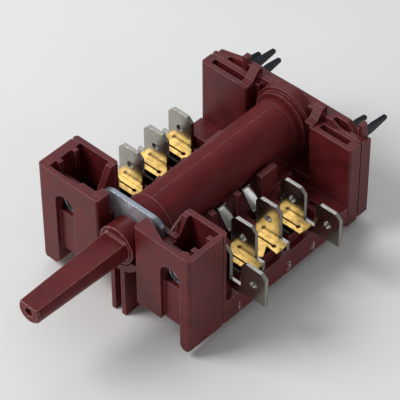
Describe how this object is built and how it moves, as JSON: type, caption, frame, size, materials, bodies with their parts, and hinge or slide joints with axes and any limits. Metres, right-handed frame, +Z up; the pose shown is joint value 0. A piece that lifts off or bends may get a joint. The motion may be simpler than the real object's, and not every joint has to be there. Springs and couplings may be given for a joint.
{
  "type": "rotary selector switch",
  "caption": "Open-frame rotary cam selector switch for an oven, with a tapered D-shaped spindle, two columns of blade terminals and a plate with two threaded holes.",
  "frame": {"origin": "spindle axis in the plane of the front face, midway between the two panel screws", "axes": "+Y runs from the spindle tip to the rear, +X to the right seen from the spindle side, +Z up"},
  "size_m": [0.0482, 0.0848, 0.0269],
  "materials": {
    "moulding": "moulded dark red-brown thermoset, slightly glossy",
    "drum_moulding": "moulded dark red-brown thermoset, smoother",
    "zinc_plate": "bright zinc plated steel strip",
    "tab_plating": "nickel plated brass, mirror-like",
    "leaf_brass": "rolled bare brass",
    "spring_plating": "silvered spring strip",
    "blade_steel": "dark tarnished strip"
  },
  "bodies": {
    "housing": {"front_housing": "moulding", "base_tray": "moulding", "rear_housing": "moulding", "rear_cover": "moulding", "mounting_plate": "zinc_plate", "terminal_right_1": "tab_plating", "terminal_left_1": "tab_plating", "terminal_right_2": "tab_plating", "terminal_left_2": "tab_plating", "terminal_right_3": "tab_plating", "terminal_left_3": "tab_plating", "terminal_right_4": "tab_plating", "terminal_left_4": "tab_plating", "brass_leaf_right_2": "leaf_brass", "brass_leaf_left_2": "leaf_brass", "brass_leaf_right_3": "leaf_brass", "brass_leaf_left_3": "leaf_brass", "brass_leaf_right_4": "leaf_brass", "brass_leaf_left_4": "leaf_brass", "rear_blade_left_outer": "blade_steel", "rear_blade_left_middle": "blade_steel", "rear_blade_left_inner": "blade_steel", "rear_blade_right_inner": "blade_steel", "rear_blade_right_outer": "blade_steel"},
    "camshaft": {"cam_drum": "drum_moulding", "spindle": "drum_moulding"},
    "spring_right_2": {"contact_spring_right_2": "spring_plating"},
    "spring_left_2": {"contact_spring_left_2": "spring_plating"},
    "spring_right_3": {"contact_spring_right_3": "spring_plating"},
    "spring_left_3": {"contact_spring_left_3": "spring_plating"},
    "spring_right_4": {"contact_spring_right_4": "spring_plating"},
    "spring_left_4": {"contact_spring_left_4": "spring_plating"}
  },
  "joints": [
    {"name": "spindle_turn", "type": "hinge", "parent": "housing", "child": "camshaft", "pos_m": [0, 0, 0], "axis": [0, 1, 0], "continuous": true},
    {"name": "contact_right_2", "type": "hinge", "parent": "housing", "child": "spring_right_2", "pos_m": [0.0159, 0.01715, -0.0081], "axis": [0, -1, 0], "range_deg": [0, 4], "stiffness_Nm_per_rad": 0.05},
    {"name": "contact_left_2", "type": "hinge", "parent": "housing", "child": "spring_left_2", "pos_m": [-0.0159, 0.01715, -0.0081], "axis": [0, 1, 0], "range_deg": [0, 4], "stiffness_Nm_per_rad": 0.05},
    {"name": "contact_right_3", "type": "hinge", "parent": "housing", "child": "spring_right_3", "pos_m": [0.0159, 0.02435, -0.0081], "axis": [0, -1, 0], "range_deg": [0, 4], "stiffness_Nm_per_rad": 0.05},
    {"name": "contact_left_3", "type": "hinge", "parent": "housing", "child": "spring_left_3", "pos_m": [-0.0159, 0.02435, -0.0081], "axis": [0, 1, 0], "range_deg": [0, 4], "stiffness_Nm_per_rad": 0.05},
    {"name": "contact_right_4", "type": "hinge", "parent": "housing", "child": "spring_right_4", "pos_m": [0.0159, 0.03155, -0.0081], "axis": [0, -1, 0], "range_deg": [0, 4], "stiffness_Nm_per_rad": 0.05},
    {"name": "contact_left_4", "type": "hinge", "parent": "housing", "child": "spring_left_4", "pos_m": [-0.0159, 0.03155, -0.0081], "axis": [0, 1, 0], "range_deg": [0, 4], "stiffness_Nm_per_rad": 0.05}
  ]
}
